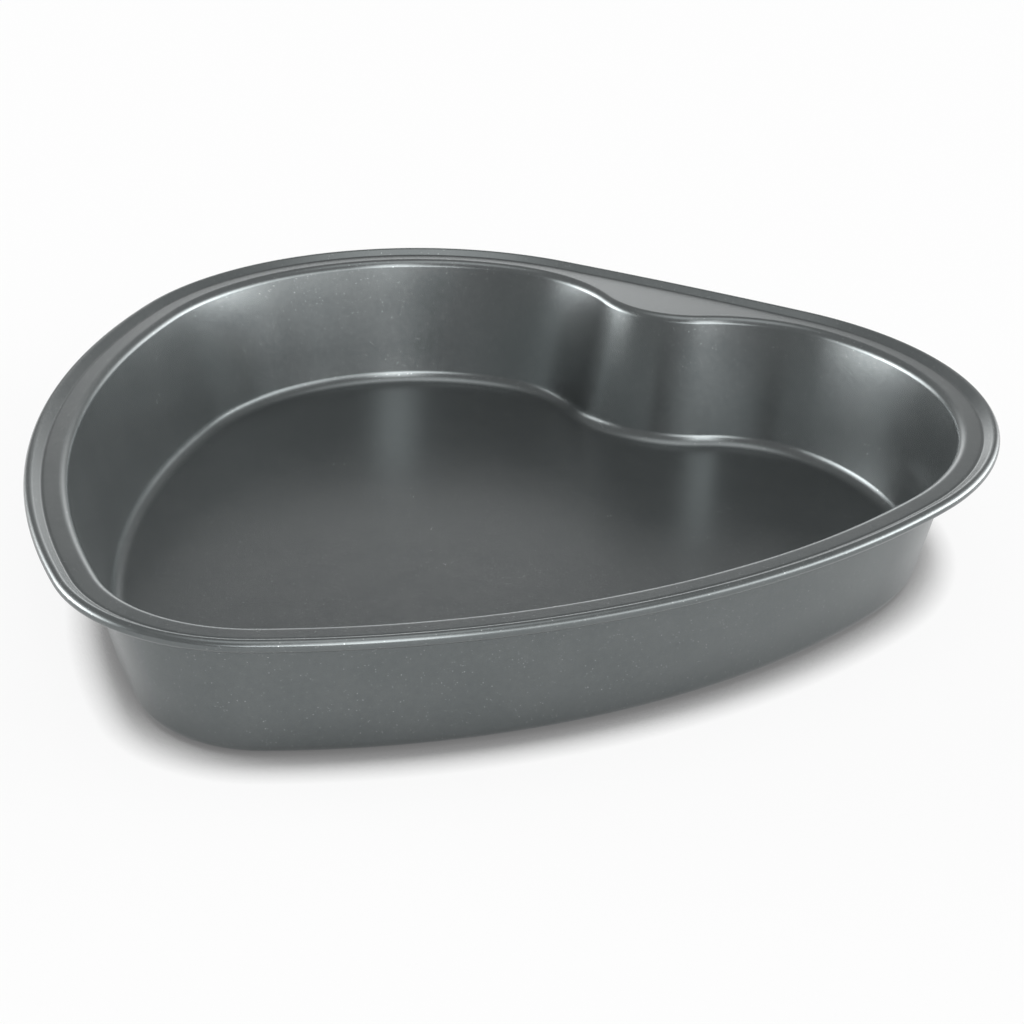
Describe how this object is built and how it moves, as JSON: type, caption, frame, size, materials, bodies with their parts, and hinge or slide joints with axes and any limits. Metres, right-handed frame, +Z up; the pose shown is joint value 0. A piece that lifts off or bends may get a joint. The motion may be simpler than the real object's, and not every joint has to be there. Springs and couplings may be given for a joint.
{
  "type": "heart cake pan",
  "caption": "Heart-shaped cake pan drawn from one coated steel sheet, with sloping walls, a flat flange that bridges the cleft and a rolled rim.",
  "frame": {"origin": "under the flat base, at the middle of the pan's overall length and width", "axes": "+Z up out of the mouth, +Y from the point of the heart to its cleft, +X to the right lobe seen from the point"},
  "size_m": [0.2492, 0.2554, 0.0386],
  "materials": {
    "nonstick_coating": "satin dark grey non-stick coating with a fine sparkle, on both sides of the sheet"
  },
  "bodies": {
    "root": {"heart_pan": "nonstick_coating"}
  },
  "joints": []
}
